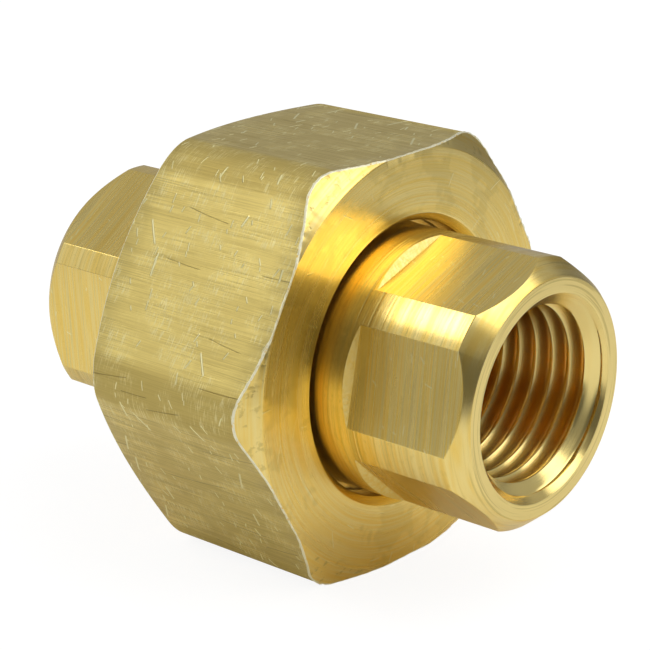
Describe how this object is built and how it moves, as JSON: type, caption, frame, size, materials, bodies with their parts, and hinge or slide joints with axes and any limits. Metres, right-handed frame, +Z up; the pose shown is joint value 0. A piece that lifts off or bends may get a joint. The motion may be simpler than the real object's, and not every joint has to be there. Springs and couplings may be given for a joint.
{
  "type": "union fitting",
  "caption": "Straight brass pipe union: hexagon union nut, tailpiece with flange and ball nose, and threaded end with conical seat; female pipe thread at both mouths.",
  "frame": {"origin": "on the flow axis, halfway between the two mouths of the closed fitting", "axes": "+X along the flow axis towards the tailpiece's mouth, +Z up, square to the nut's upper and lower flats"},
  "size_m": [0.0372, 0.0314, 0.028],
  "materials": {
    "threaded_end_brass": "turned barrel and milled flats, bare brass",
    "tailpiece_brass": "turned barrel and milled flats, bare brass",
    "nut_brass": "drawn hexagon bar with turned ends, bare brass, lightly scratched"
  },
  "bodies": {
    "threaded_end": {"threaded_end": "threaded_end_brass"},
    "tailpiece": {"tailpiece": "tailpiece_brass"},
    "union_nut": {"union_nut": "nut_brass"}
  },
  "joints": [
    {"name": "tailpiece_draw", "type": "slide", "parent": "threaded_end", "child": "tailpiece", "axis": [1, 0, 0], "range_m": [0, 0.00713]},
    {"name": "nut_turn", "type": "hinge", "parent": "tailpiece", "child": "union_nut", "pos_m": [0, 0, 0], "axis": [1, 0, 0], "range_deg": [0, 1710]}
  ],
  "couplings": [
    {"joint": "tailpiece_draw", "follows": "nut_turn", "m_per_rad": 0.00023873}
  ]
}
